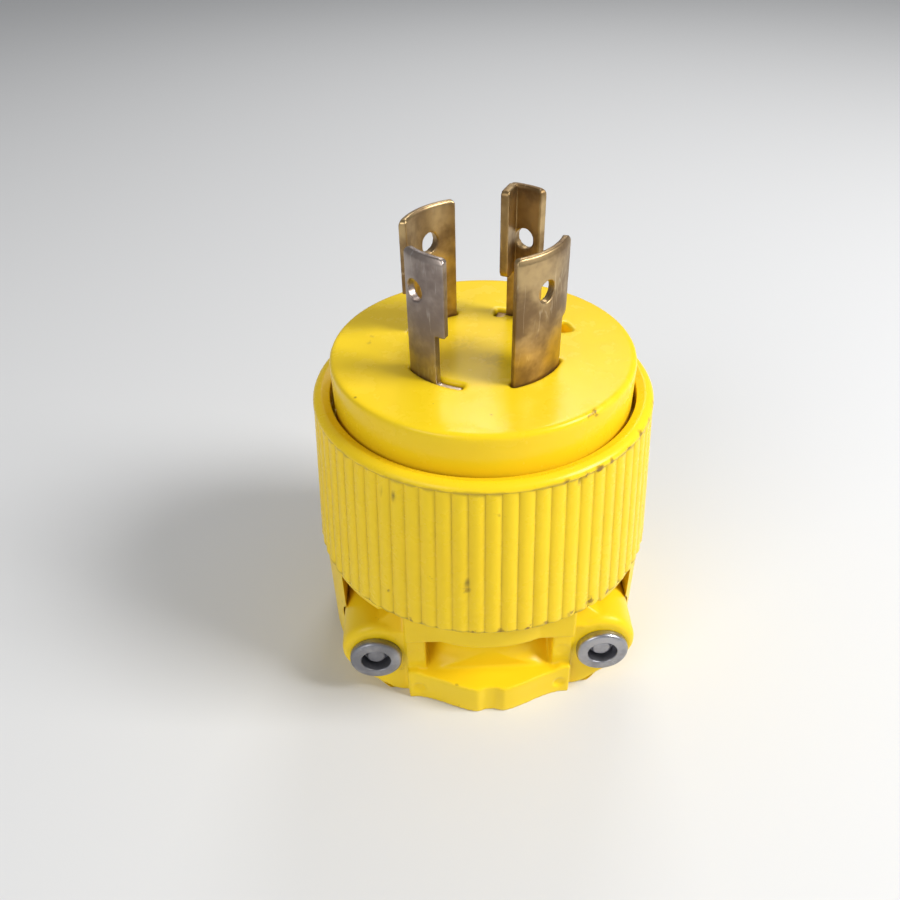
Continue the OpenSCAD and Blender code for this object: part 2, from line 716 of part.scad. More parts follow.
module rear_housing() color(YELLOW) difference() {
  rotate_extrude() polygon(concat(
    [[0, 0]],
    arc([housing_r - housing_edge, housing_edge], housing_edge, 270, 360),
    [[housing_r, sleeve_z], [spigot_r, sleeve_z], [spigot_r, spigot_z], [0, spigot_z]]));
  jaw_space();
  // The flat front that the jaw's lip stands against.
  translate([-housing_r, -housing_r - over, -over])
    cube([2*housing_r, housing_r + over - ear_y, sleeve_z + over]);
  translate([0, 0, -over]) cylinder(d = cord_d, h = spigot_z + 2*over);
  wiring_space();
  cored_pockets();
  for (side = [-1, 1]) {
    front_bore(side*clamp_pitch/2, clamp_z, clamp_screw_d/2 + shank_gap, -clamp_seat_y - bite,
               housing_r);
    front_bore(side*clamp_pitch/2, clamp_z, clamp_head_d/2 + shank_gap, -housing_r - over,
               -clamp_seat_y);
  }
  for (y = [-assembly_r, assembly_r]) translate([0, y, -over]) {
    cylinder(d = assembly_screw_d + 2*shank_gap, h = spigot_z + 2*over);
    cylinder(d = assembly_head_d + 2*shank_gap, h = assembly_seat_z + over);
  }
}

// The open space above the cord hole, round the pillars of the assembly screws.
module wiring_space() difference() {
  union() {
    translate([0, 0, ceiling_z]) cylinder(r = cavity_r, h = spigot_z);
    intersection() {
      translate([0, 0, saddle_h]) cylinder(r = cavity_r, h = spigot_z);
      translate([-housing_r, -housing_parting + saddle_wall, 0])
        cube([2*housing_r, 2*housing_r, spigot_z]);
    }
  }
  for (y = [-assembly_r, assembly_r])
    translate([0, y, 0]) cylinder(r = pillar_r, h = 2*spigot_z);
}

// Pockets that thin the moulding behind the cord hole.
module cored_pockets() difference() {
  intersection() {
    translate([0, 0, core_floor]) cylinder(r = cavity_r, h = saddle_h);
    translate([-clamp_pitch/2 + clamp_head_d/2 + core_wall, 0, 0])
      cube([clamp_pitch - clamp_head_d - 2*core_wall, housing_r, spigot_z]);
  }
  cylinder(r = cord_d/2 + core_wall, h = spigot_z);
  translate([0, assembly_r, 0]) cylinder(r = pillar_r, h = spigot_z);
}

// A flanged nut: round flange, open mouth, tapped hexagon shank.
module clamp_nut(side) difference() {
  union() {
    turned_to_front(side*clamp_pitch/2, clamp_z, concat(
      [[0, ear_y], [nut_d/2, ear_y]],
      arc([nut_d/2 - nut_edge, ear_y + nut_flange_t - nut_edge], nut_edge, 0, 90, 6),
      [[0, ear_y + nut_flange_t]]));
    translate([side*clamp_pitch/2, -ear_y + nut_hex_h, clamp_z]) rotate([90, 30, 0])
      cylinder(d = nut_hex_d, h = nut_hex_h + nut_flange_t/2, $fn = 6);
  }
  front_bore(side*clamp_pitch/2, clamp_z, clamp_screw_d/2 + thread_gap,
             ear_y - nut_hex_h - over, ear_y + over);
  front_bore(side*clamp_pitch/2, clamp_z, nut_mouth_d/2,
             ear_y + nut_flange_t - nut_mouth_h, ear_y + nut_flange_t + over);
}

// A round-head screw from the back of the housing; its tip is rounded over.
module clamp_screw(side) difference() {
  tip = ear_y + nut_flange_t - screw_sink;
  r = clamp_screw_d/2;
  turned_to_front(side*clamp_pitch/2, clamp_z, concat(
    [[0, -clamp_seat_y - clamp_head_h],
     [clamp_head_d/2 - head_bevel[0], -clamp_seat_y - clamp_head_h],
     [clamp_head_d/2, -clamp_seat_y - clamp_head_h + head_bevel[1]],
     [clamp_head_d/2, -clamp_seat_y], [r, -clamp_seat_y]],
    arc([r - screw_tip, tip - screw_tip], screw_tip, 0, 90, 5),
    [[0, tip]]));
  translate([side*clamp_pitch/2 - clamp_head_d, clamp_seat_y + clamp_head_h - drive_h,
             clamp_z - drive_w/2])
    cube([2*clamp_head_d, drive_h + over, drive_w]);
}

// A long screw from the cord end up into the face insulator.
module assembly_screw(y) translate([0, y, assembly_seat_z]) difference() {
  rotate_extrude() polygon([
    [0, -assembly_head_h], [assembly_head_d/2 - head_bevel[0], -assembly_head_h],
    [assembly_head_d/2, head_bevel[1] - assembly_head_h], [assembly_head_d/2, 0],
    [assembly_screw_d/2, 0], [assembly_screw_d/2, assembly_len - point_bevel],
    [assembly_screw_d/2 - point_bevel, assembly_len], [0, assembly_len]]);
  translate([-assembly_head_d, -drive_w/2, -assembly_head_h - over])
    cube([2*assembly_head_d, drive_w, drive_h + over]);
}

module clamp_nut_left() color(STEEL) clamp_nut(-1);
module clamp_nut_right() color(STEEL) clamp_nut(1);
module clamp_screw_left() color("gray") clamp_screw(-1);
module clamp_screw_right() color("gray") clamp_screw(1);
module assembly_screw_front() color("gray") assembly_screw(-assembly_r);
module assembly_screw_back() color("gray") assembly_screw(assembly_r);

face_insulator();
terminal_block();
ribbed_sleeve();
rear_housing();
clamp_jaw();
clamp_nut_left();
clamp_nut_right();
clamp_screw_left();
clamp_screw_right();
blade_neutral();
blade_line_x();
blade_line_y();
blade_ground();
terminal_clamp_neutral();
terminal_clamp_line_x();
terminal_clamp_line_y();
terminal_clamp_ground();
terminal_screw_neutral();
terminal_screw_line_x();
terminal_screw_line_y();
terminal_screw_ground();
assembly_screw_front();
assembly_screw_back();
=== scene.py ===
"""Finishes a yellow locking power plug: moulded nylon, plated and brass blades, worn and
handled. Each group of like pieces has its own operator. Lengths are in metres."""

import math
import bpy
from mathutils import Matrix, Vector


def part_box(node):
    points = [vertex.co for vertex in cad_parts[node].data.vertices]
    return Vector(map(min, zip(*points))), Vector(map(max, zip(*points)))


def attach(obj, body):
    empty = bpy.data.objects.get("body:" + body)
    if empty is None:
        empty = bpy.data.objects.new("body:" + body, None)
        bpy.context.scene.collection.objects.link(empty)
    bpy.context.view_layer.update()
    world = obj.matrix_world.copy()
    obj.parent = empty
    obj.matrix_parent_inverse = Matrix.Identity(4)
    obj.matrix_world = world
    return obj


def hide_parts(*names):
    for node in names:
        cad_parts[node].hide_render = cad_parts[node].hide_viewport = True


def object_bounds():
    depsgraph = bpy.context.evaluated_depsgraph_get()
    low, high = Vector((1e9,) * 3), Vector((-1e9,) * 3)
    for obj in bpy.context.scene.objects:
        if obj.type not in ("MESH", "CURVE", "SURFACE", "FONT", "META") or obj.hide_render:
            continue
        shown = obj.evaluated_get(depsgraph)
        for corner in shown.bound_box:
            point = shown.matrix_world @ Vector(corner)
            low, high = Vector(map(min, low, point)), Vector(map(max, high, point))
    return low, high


bl_info = {
    "name": "Locking Power Plug Finish",
    "version": (1, 0, 0),
    "blender": (4, 5, 0),
    "location": "View3D > Sidebar > Plug",
    "description": "Dresses a locking power plug in moulded nylon, brass and plated steel",
    "category": "Object",
}

import bpy
import numpy as np
from bpy.props import FloatProperty, FloatVectorProperty, IntProperty, PointerProperty
from mathutils import Matrix, Vector

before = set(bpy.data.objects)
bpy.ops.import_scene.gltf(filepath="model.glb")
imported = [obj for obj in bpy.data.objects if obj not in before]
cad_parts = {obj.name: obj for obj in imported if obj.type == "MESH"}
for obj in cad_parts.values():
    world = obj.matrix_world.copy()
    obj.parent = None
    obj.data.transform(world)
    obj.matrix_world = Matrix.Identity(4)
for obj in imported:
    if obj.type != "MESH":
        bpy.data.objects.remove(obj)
CAD_LOW, CAD_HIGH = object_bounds()

MM = 0.001
# The plug has one body, and every piece rides on it.
BODY = "root"
# What a material's name ends with, after the name that it is made with.
FINISH = "_finish"

# The places that the sleeve, its dirt and its painted shade are measured from, in metres
# in the plug's frame.
SLEEVE_LOW, SLEEVE_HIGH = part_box("ribbed_sleeve")
FACE_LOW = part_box("face_insulator")[0]


# ---- Where the plug is marked ----

# Stains and painted shade as (x, y, z, radius, strength), in millimetres. On the face: a
# chip at its edge, two faint wide spots between the blades that are a blade's painted
# shadow, and specks. On the jaw: painted shade in the dark corners of its scoop, and chips
# and specks on its lip, ears and flange.
FACE_STAINS_AND_SHADOW = ((17.7, -22.7, 68.7, 0.9, 0.8), (16.4, -23.6, 68.7, 0.6, 0.6),
              # The two wide faint spots below paint a blade's shadow.
              (2.0, -5.0, 69.0, 3.2, 0.16), (-3.5, 1.0, 69.0, 2.6, 0.12),
              (8.0, -9.5, 69.0, 0.4, 0.6), (-9.5, -19.0, 69.0, 0.35, 0.5),
              (-21.4, 2.6, 69.0, 0.9, 0.3), (-21.2, 5.0, 69.0, 0.7, 0.25))
# The first three jaw spots paint shade in the corners of the scoop; the rest are chips and
# specks.
JAW_STAINS_AND_SHADE = ((-12.2, -21.3, 16.6, 3.4, 0.85), (-12.6, -21.6, 13.0, 2.2, 0.5),
             (12.4, -21.0, 17.2, 2.0, 0.7), (9.0, -24.0, 16.2, 0.7, 0.9),
             (1.5, -26.9, 16.6, 0.8, 0.5), (-4.5, -26.3, 15.4, 0.6, 0.5),
             (-17.6, -28.0, 21.5, 0.8, 0.5), (-7.0, -31.4, 7.6, 0.5, 0.4),
             (-6.5, -31.6, 0.6, 0.7, 0.6), (-18.5, -27.2, 7.5, 1.2, 0.4),
             (-25.0, -26.5, 5.8, 0.7, 0.5), (-22.5, -24.0, 19.8, 0.6, 0.5))
# On the sleeve: dirt on its crown and at the lower ends of its ribs, and a few specks.
# Each is given as its angle in degrees, its distance from the axis and its height in
# millimetres, and then its radius and strength, as above.
SLEEVE_SPOTS = tuple(
    (r * math.cos(math.radians(a)), r * math.sin(math.radians(a)), z, size, strength)
    for a, r, z, size, strength in (
        (292, 33, 60.2, 0.7, 0.7), (299, 33, 60.3, 0.9, 0.8), (304, 33, 60.2, 1.1, 0.8),
        (309, 33, 60.4, 0.7, 0.7), (318, 33, 60.3, 0.9, 0.7), (326, 33, 60.2, 1.2, 0.8),
        (334, 33, 60.4, 0.8, 0.7), (343, 33, 60.2, 1.3, 0.7), (272, 33.4, 55.5, 1.1, 0.35),
        (264, 35, 28.2, 0.8, 0.7), (272, 35, 28.0, 0.9, 0.7), (281, 35, 28.1, 0.9, 0.8),
        (287, 35, 28.3, 0.7, 0.7), (296, 35, 28.6, 1.0, 0.8), (303, 35, 29.2, 1.1, 0.8),
        (311, 35, 28.6, 0.8, 0.8), (244, 35, 28.2, 0.7, 0.6), (236, 34.6, 33.5, 0.5, 0.6),
        (262, 34.2, 38.4, 0.9, 0.5), (251, 34, 40.5, 0.5, 0.5)))
# Rings of grime and painted shade at the sleeve's foot and under its crown: height, width
# and strength.
SLEEVE_BANDS = ((SLEEVE_LOW.z, 0.8 * MM, 0.6),
                (SLEEVE_HIGH.z - 1.5 * MM, 0.5 * MM, 0.45))
# Grime that follows an attribute of the sleeve's mesh, with painted shade along the
# grooves: attribute and strength.
SLEEVE_MARKS = (("groove", 0.3), ("nick", 0.85))
# Nicks in the ribs: angle in degrees, height, radius and depth in millimetres.
NICKS = ((239.2, 56.5, 0.45, 0.1), (234.9, 57.0, 0.35, 0.1), (265.1, 59.3, 0.3, 0.1),
         (267.3, 58.9, 0.45, 0.12), (269.6, 59.3, 0.3, 0.1), (262.1, 39.9, 0.5, 0.14),
         (321.9, 59.6, 0.45, 0.1), (296.7, 59.6, 0.45, 0.1))


# ---- Sizes and colours that a user would change ----


class PlugFinish(bpy.types.PropertyGroup):
    """Colours and wear of the plug's surfaces."""

    yellow: FloatVectorProperty(
        name="Yellow", description="Colour of the moulded nylon", subtype="COLOR",
        default=(0.95, 0.665, 0.012), min=0, max=1)
    yellow_deep: FloatVectorProperty(
        name="Deep yellow", description="Colour of the nylon where it is rubbed or aged",
        subtype="COLOR", default=(0.90, 0.54, 0.010), min=0, max=1)
    # Also the colour of painted shade, along the sleeve's grooves and in its rings at the
    # foot and under the crown.
    grime_and_shade: FloatVectorProperty(
        name="Grime", description="Colour of the dirt in seams and on edges",
        subtype="COLOR", default=(0.10, 0.055, 0.018), min=0, max=1)
    # Also the colour of painted shade, in the corners of the jaw's scoop and as a blade's
    # shadow on the face.
    stain_and_shade: FloatVectorProperty(
        name="Stain", description="Colour of single stains and chips", subtype="COLOR",
        default=(0.16, 0.055, 0.012), min=0, max=1)
    brass: FloatVectorProperty(
        name="Brass", description="Colour of the bare brass", subtype="COLOR",
        default=(0.52, 0.37, 0.18), min=0, max=1)
    plating: FloatVectorProperty(
        name="Plating", description="Colour of the plated blade", subtype="COLOR",
        default=(0.46, 0.39, 0.34), min=0, max=1)
    zinc: FloatVectorProperty(
        name="Zinc", description="Colour of the zinc plated nuts and screws",
        subtype="COLOR", default=(0.46, 0.46, 0.49), min=0, max=1)
    easing: FloatProperty(
        name="Easing", description="Reach of the shading that eases moulded edges",
        default=0.3 * MM, min=0, max=MM, unit="LENGTH", precision=5)
    # Wear scales the painted shade as well as the soiling.
    wear: FloatProperty(
        name="Wear", description="How strongly the moulded surfaces are soiled",
        default=1.0, min=0, max=2)


class PlugDetail(bpy.types.PropertyGroup):
    """Fineness and rounding of the pieces, and the shape of the sleeve's ribs."""

    jaw_grid: FloatProperty(
        name="Jaw grid", description="Spacing of the even mesh of the clamp jaw",
        default=0.3 * MM, min=0.2 * MM, max=MM, unit="LENGTH", precision=5)
    face_grid: FloatProperty(
        name="Face grid", description="Spacing of the even mesh of the face insulator",
        default=0.38 * MM, min=0.3 * MM, max=MM, unit="LENGTH", precision=5)
    metal_grid: FloatProperty(
        name="Metal grid", description="Spacing of the even mesh of blades and nuts",
        default=0.19 * MM, min=0.12 * MM, max=0.5 * MM, unit="LENGTH", precision=5)
    jaw_rounds: IntProperty(
        name="Jaw rounding", description="How many times the jaw's surface is evened out",
        default=6, min=0, max=30)
    face_rounds: IntProperty(
        name="Face rounding", description="How many times the face's surface is evened out",
        default=2, min=0, max=30)
    metal_rounds: IntProperty(
        name="Metal rounding", description="How many times a metal surface is evened out",
        default=3, min=0, max=30)
    rib_count: IntProperty(
        name="Ribs", description="Ribs round the sleeve", default=72, min=10, max=120)
    rib_depth: FloatProperty(
        name="Rib depth", description="Depth of the grooves between the ribs",
        default=0.42 * MM, min=0, max=MM, unit="LENGTH", precision=5)
    rib_columns: IntProperty(
        name="Rib columns", description="Mesh columns across one rib", default=12, min=4,
        max=24)


class PlugStage(bpy.types.PropertyGroup):
    """Camera, floor and the light from all round."""

    camera_at: FloatVectorProperty(
        name="Camera", description="Where the camera stands", subtype="TRANSLATION",
        unit="LENGTH", default=(-0.00847, -0.13233, 0.14607), precision=5)
    heading: FloatProperty(
        name="Heading", description="Turn of the camera from the +Y direction, to the right",
        default=math.radians(0.8), unit="ROTATION")
    pitch: FloatProperty(
        name="Pitch", description="How far the camera looks down",
        default=math.radians(37.56), unit="ROTATION")
    roll: FloatProperty(
        name="Roll", description="Dip of the camera's right side",
        default=math.radians(1.48), unit="ROTATION")
    lens: FloatProperty(
        name="Lens", description="Focal length for a sensor 36 mm wide", default=32.0,
        min=10, max=200)
    floor: FloatVectorProperty(
        name="Floor", description="Colour of the floor", subtype="COLOR",
        default=(0.72, 0.72, 0.72), min=0, max=1)
    floor_half: FloatProperty(
        name="Floor half", description="Half the side of the square floor",
        default=4.0, min=0.5, max=20, unit="LENGTH")
    room: FloatVectorProperty(
        name="Room", description="Colour of the light from all round", subtype="COLOR",
        default=(0.9, 0.92, 0.95), min=0, max=1)
    room_strength: FloatProperty(
        name="Room strength", description="Strength of the light from all round",
        default=0.31, min=0, max=2)


# ---- Shader wiring ----


def put(tree, socket, value):
    """Links a socket to another one, or sets its own value. A colour has three parts."""
    if isinstance(value, bpy.types.NodeSocket):
        tree.links.new(value, socket)
    elif socket.type == "RGBA":
        socket.default_value = (*value, 1)
    else:
        socket.default_value = value


def node(tree, kind, inputs=None, **settings):
    """Adds one shader node with its settings and inputs, which are named or numbered."""
    made = tree.nodes.new(kind)
    for name, value in settings.items():
        setattr(made, name, value)
    for name, value in (inputs or {}).items():
        put(tree, made.inputs[name], value)
    return made


def maths(tree, operation, a, b=0.0, clamp=False):
    """The result of a Math node."""
    return node(tree, "ShaderNodeMath", {0: a, 1: b}, operation=operation,
                use_clamp=clamp).outputs[0]


def mapped(tree, value, low, high, to_low=0.0, to_high=1.0):
    """A value taken smoothly from one range to another, and held at its ends."""
    return node(tree, "ShaderNodeMapRange", {
        "Value": value, "From Min": low, "From Max": high, "To Min": to_low,
        "To Max": to_high}, interpolation_type="SMOOTHSTEP").outputs[0]


# The Mix node has sockets for each kind of data. These are its share and its colours.
MIX_SHARE, MIX_UNDER, MIX_OVER, MIX_RESULT = 0, 6, 7, 2


def mixed(tree, share, under, over):
    """One colour laid over another by a share from 0 to 1."""
    made = node(tree, "ShaderNodeMix", data_type="RGBA")
    put(tree, made.inputs[MIX_SHARE], share)
    put(tree, made.inputs[MIX_UNDER], under)
    put(tree, made.inputs[MIX_OVER], over)
    return made.outputs[MIX_RESULT]


def laid(tree, under, over, mask, strength):
    """One colour laid over another by a mask times a strength, and by 1 at most."""
    share = maths(tree, "MULTIPLY", mask, strength, clamp=True)
    return mixed(tree, share, under, over)


VECTOR, FLOAT = "NodeSocketVector", "NodeSocketFloat"


def group(name, inputs, wire):
    """A shader node group with named inputs and one output, Mask. It is built once:
    wire(tree, given) adds its nodes and returns the mask's socket."""
    if name in bpy.data.node_groups:
        return bpy.data.node_groups[name]
    tree = bpy.data.node_groups.new(name, "ShaderNodeTree")
    for label, kind, default in inputs:
        made = tree.interface.new_socket(label, in_out="INPUT", socket_type=kind)
        if default is not None:
            made.default_value = default
    tree.interface.new_socket("Mask", in_out="OUTPUT", socket_type=FLOAT)
    given = tree.nodes.new("NodeGroupInput").outputs
    result = tree.nodes.new("NodeGroupOutput").inputs["Mask"]
    put(tree, result, wire(tree, given))
    return tree


def use(tree, shared, **values):
    """Places a node group, which gives one mask, with its own values."""
    made = tree.nodes.new("ShaderNodeGroup")
    made.node_tree = shared
    for name, value in values.items():
        put(tree, made.inputs[name], value)
    return made.outputs["Mask"]


# ---- Effects that materials share ----

# The value that a noise texture lies about.
NOISE_MIDDLE = 0.5


def patches():
    """Soft patches: noise of a given scale, taken from 0 to 1 between two levels."""

    def wire(tree, given):
        noise = node(tree, "ShaderNodeTexNoise", {
            "Vector": given["Position"], "Scale": given["Scale"], "Detail": 4.0,
            "Roughness": 0.6})
        return mapped(tree, noise.outputs[0], given["From"], given["To"])

    return group("Patches", [("Position", VECTOR, None), ("Scale", FLOAT, 100.0),
                             ("From", FLOAT, 0.4), ("To", FLOAT, 0.6)], wire)


def specks():
    """Small dark specks: the cores of a share of the cells of a Voronoi pattern."""

    def wire(tree, given):
        cells = node(tree, "ShaderNodeTexVoronoi", {
            "Vector": given["Position"], "Scale": given["Scale"]})
        core = mapped(tree, cells.outputs["Distance"], given["Size"], 0.0)
        chosen = node(tree, "ShaderNodeSeparateColor", {"Color": cells.outputs["Color"]})
        kept = maths(tree, "LESS_THAN", chosen.outputs[0], given["Share"])
        return maths(tree, "MULTIPLY", core, kept)

    return group("Specks", [("Position", VECTOR, None), ("Scale", FLOAT, 300.0),
                            ("Size", FLOAT, 0.25), ("Share", FLOAT, 0.1)], wire)


def scratches():
    """Fine scratches: thin level lines of a noise that is stretched along one axis and
    kept in patches."""

    def wire(tree, given):
        stretched = node(tree, "ShaderNodeMapping", {
            "Vector": given["Position"], "Scale": given["Stretch"]})
        lines = node(tree, "ShaderNodeTexNoise", {
            "Vector": stretched.outputs[0], "Scale": given["Scale"], "Detail": 2.0})
        away = maths(tree, "SUBTRACT", lines.outputs[0], NOISE_MIDDLE)
        thin = mapped(tree, maths(tree, "ABSOLUTE", away), given["Width"], 0.0)
        where = use(tree, patches(), Position=given["Position"], Scale=90.0, From=0.5,
                    To=0.62)
        return maths(tree, "MULTIPLY", thin, where)

    return group("Scratches", [("Position", VECTOR, None), ("Scale", FLOAT, 200.0),
                               ("Stretch", VECTOR, (1, 1, 0.1)),
                               ("Width", FLOAT, 0.01)], wire)


def edge_wear():
    """Worn edges: where the normal of a surface rounded to a radius leaves the true one.
    Wear begins where the two agree by 0.97, as a cosine, and is full at 0.75."""

    def wire(tree, given):
        soft = node(tree, "ShaderNodeBevel", {"Radius": given["Radius"]}, samples=6)
        true = node(tree, "ShaderNodeNewGeometry")
        agree = node(tree, "ShaderNodeVectorMath", {
            0: soft.outputs[0], 1: true.outputs["Normal"]}, operation="DOT_PRODUCT")
        return mapped(tree, agree.outputs["Value"], low=0.97, high=0.75)

    return group("Edge wear", [("Radius", FLOAT, 0.3 * MM)], wire)


def ragged(tree, given, size, scale, low, high, least, most):
    """A size that noise varies: it is multiplied by least where the noise is low, and by
    most where the noise is high."""
    noise = node(tree, "ShaderNodeTexNoise", {
        "Vector": given["Position"], "Scale": scale, "Detail": 5.0})
    return maths(tree, "MULTIPLY", size,
                 mapped(tree, noise.outputs[0], low, high, least, most))


def ring_band():
    """A band round the axis at a height, which fades to a ragged edge."""

    def wire(tree, given):
        parts = node(tree, "ShaderNodeSeparateXYZ", {0: given["Position"]})
        rise = maths(tree, "SUBTRACT", parts.outputs["Z"], given["Height"])
        reach = ragged(tree, given, given["Width"], scale=260.0, low=0.35, high=0.7,
                       least=0.2, most=1.6)
        share = maths(tree, "DIVIDE", maths(tree, "ABSOLUTE", rise), reach)
        return maths(tree, "SUBTRACT", 1.0, share, clamp=True)

    return group("Ring band", [("Position", VECTOR, None), ("Height", FLOAT, 0.0),
                               ("Width", FLOAT, MM)], wire)


def spot():
    """A spot about a point: full near the point, and fading to a ragged edge."""

    def wire(tree, given):
        away = node(tree, "ShaderNodeVectorMath", {
            0: given["Position"], 1: given["Centre"]}, operation="DISTANCE")
        reach = ragged(tree, given, given["Radius"], scale=900.0, low=0.35, high=0.65,
                       least=0.3, most=1.5)
        share = maths(tree, "DIVIDE", away.outputs["Value"], reach)
        return mapped(tree, share, low=1.0, high=0.2)

    return group("Spot", [("Position", VECTOR, None), ("Centre", VECTOR, None),
                          ("Radius", FLOAT, MM)], wire)


# ---- Materials ----


def new_material(name):
    """An empty node material, with its Principled shader and its object coordinates."""
    made = bpy.data.materials.new(name + FINISH)
    made.use_nodes = True
    tree = made.node_tree
    shader = tree.nodes["Principled BSDF"]
    position = node(tree, "ShaderNodeTexCoord").outputs["Object"]
    return made, tree, shader, position


def moulded_nylon(name, finish, gloss, bands=(), marks=(), spots=()):
    """Yellow moulded nylon: faint mottling, fine grain, specks and scuffs, with the shading
    of its edges eased. gloss is its least roughness. bands are (height, width, strength)
    of rings of grime and painted shade in metres, marks are (attribute, strength) of grime,
    with painted shade along the grooves, that the mesh places, and spots are (x, y, z,
    radius, strength) in millimetres, of stains and of painted shade."""
    mottling, specking, cleanest, scuffing = 0.2, 0.75, 0.45, 0.14
    made, tree, shader, at = new_material(name)
    tone = use(tree, patches(), Position=at, Scale=45.0, From=0.35, To=0.7)
    colour = laid(tree, finish.yellow, finish.yellow_deep, tone, mottling)
    speck = use(tree, specks(), Position=at, Scale=260.0, Size=0.12, Share=0.05)
    colour = laid(tree, colour, finish.grime_and_shade, speck, specking * finish.wear)
    # Rings at the sleeve's foot and under its crown: grime and painted shade.
    for height, width, strength in bands:
        band = use(tree, ring_band(), Position=at, Height=height, Width=width)
        colour = laid(tree, colour, finish.grime_and_shade, band, strength * finish.wear)
    # Along the sleeve's grooves this lays painted shade as well as dirt; in its nicks, dirt.
    for attribute, strength in marks:
        mark = node(tree, "ShaderNodeAttribute", attribute_name=attribute).outputs["Fac"]
        patchy = use(tree, patches(), Position=at, Scale=70.0, From=0.25, To=0.7)
        most = strength * finish.wear
        dirt = mapped(tree, patchy, 0.0, 1.0, cleanest * most, most)
        colour = laid(tree, colour, finish.grime_and_shade, mark, dirt)
    # Stains and chips, and painted shade: in the corners of the jaw's scoop, and a blade's
    # shadow on the face.
    for x, y, z, radius, strength in spots:
        mark = use(tree, spot(), Position=at, Centre=(x * MM, y * MM, z * MM),
                   Radius=radius * MM)
        colour = laid(tree, colour, finish.stain_and_shade, mark, strength * finish.wear)
    put(tree, shader.inputs["Base Color"], colour)
    shader.inputs["Specular IOR Level"].default_value = 0.28
    scuff = use(tree, patches(), Position=at, Scale=160.0, From=0.4, To=0.75)
    put(tree, shader.inputs["Roughness"],
        mapped(tree, scuff, 0.0, 1.0, gloss, gloss + scuffing))
    grain = node(tree, "ShaderNodeTexNoise", {
        "Vector": at, "Scale": 900.0, "Detail": 3.0})
    eased = node(tree, "ShaderNodeBevel", {"Radius": finish.easing}, samples=4)
    bump = node(tree, "ShaderNodeBump", {
        "Height": grain.outputs[0], "Strength": 0.12, "Distance": 0.05 * MM,
        "Normal": eased.outputs[0]})
    put(tree, shader.inputs["Normal"], bump.outputs[0])
    return made


# The scale of a metal's grain along x, y and z: drawn out upwards, or even all ways.
DRAWN, TURNED = (1, 1, 0.12), (1, 1, 1)


def worn_metal(name, colour, tarnish, bright, roughness, streak=DRAWN):
    """Dulled metal: cloudy tarnish, drawn or even grain, fine scratches, bright edges.
    Tarnish makes it rougher than its given roughness, and rubbed edges are smoother."""
    scratching, rubbing, roughening, smoothing = 0.4, 0.7, 0.15, 0.12
    made, tree, shader, at = new_material(name)
    cloud = use(tree, patches(), Position=at, Scale=120.0, From=0.35, To=0.68)
    tint = mixed(tree, cloud, colour, tarnish)
    line = use(tree, scratches(), Position=at, Scale=500.0, Stretch=streak, Width=0.02)
    tint = laid(tree, tint, bright, line, scratching)
    edge = use(tree, edge_wear(), Radius=0.35 * MM)
    tint = laid(tree, tint, bright, edge, rubbing)
    put(tree, shader.inputs["Base Color"], tint)
    shader.inputs["Metallic"].default_value = 1.0
    rough = mapped(tree, cloud, 0.0, 1.0, roughness, roughness + roughening)
    put(tree, shader.inputs["Roughness"],
        maths(tree, "SUBTRACT", rough, maths(tree, "MULTIPLY", edge, smoothing)))
    drawn = node(tree, "ShaderNodeMapping", {"Vector": at, "Scale": streak})
    grain = node(tree, "ShaderNodeTexNoise", {
        "Vector": drawn.outputs[0], "Scale": 1500.0, "Detail": 2.0})
    bump = node(tree, "ShaderNodeBump", {
        "Height": grain.outputs[0], "Strength": 0.15, "Distance": 0.03 * MM})
    put(tree, shader.inputs["Normal"], bump.outputs[0])
    return made


def black_thermoset(name):
    """The terminal block's black moulding, with a fine dull grain."""
    black, grey = (0.02, 0.02, 0.02), (0.04, 0.038, 0.035)
    made, tree, shader, at = new_material(name)
    tone = use(tree, patches(), Position=at, Scale=300.0, From=0.3, To=0.7)
    put(tree, shader.inputs["Base Color"], mixed(tree, tone, black, grey))
    put(tree, shader.inputs["Roughness"],
        mapped(tree, tone, 0.0, 1.0, to_low=0.45, to_high=0.6))
    return made


# ---- Pieces ----


def piece(name, mesh, material, replaced):
    """A finished piece in the CAD's own frame, in place of one CAD node."""
    mesh.materials.clear()
    mesh.materials.append(material)
    made = bpy.data.objects.new(name, mesh)
    bpy.context.scene.collection.objects.link(made)
    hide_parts(replaced)
    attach(made, BODY)
    return made


def softened(name, material, grid, rounds):
    """A CAD node's shape with its edges rounded as moulded or stamped ones are. A copy's
    loose triangles are joined, an even mesh is laid over it, and each vertex then moves
    halfway to the mean of its neighbours, a number of times."""
    work = bpy.data.objects.new("work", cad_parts[name].data.copy())
    bpy.context.scene.collection.objects.link(work)
    joined = work.modifiers.new("Joined", "WELD")
    joined.merge_threshold = 0.002 * MM
    even = work.modifiers.new("Even", "REMESH")
    even.mode = "VOXEL"
    even.voxel_size = grid
    even.use_smooth_shade = True
    rounded = work.modifiers.new("Rounded", "SMOOTH")
    rounded.factor = 0.5
    rounded.iterations = rounds
    solid = bpy.data.meshes.new_from_object(
        work.evaluated_get(bpy.context.evaluated_depsgraph_get()))
    bpy.data.objects.remove(work)
    return piece(name + "_soft", solid, material, name)


def dress(name, material):
    """Gives a CAD node's object its material."""
    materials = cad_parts[name].data.materials
    materials.clear()
    materials.append(material)


class PLUG_OT_face(bpy.types.Operator):
    """Finish the face insulator: glossy yellow, with a blade's painted shadow and a chip at
    its edge
    """

    bl_idname = "plug.face"
    bl_label = "Face insulator"

    def execute(self, context):
        detail = context.scene.plug_detail
        nylon = moulded_nylon("yellow_face", context.scene.plug_finish, gloss=0.22,
                              spots=FACE_STAINS_AND_SHADOW)
        softened("face_insulator", nylon, detail.face_grid, detail.face_rounds)
        return {"FINISHED"}


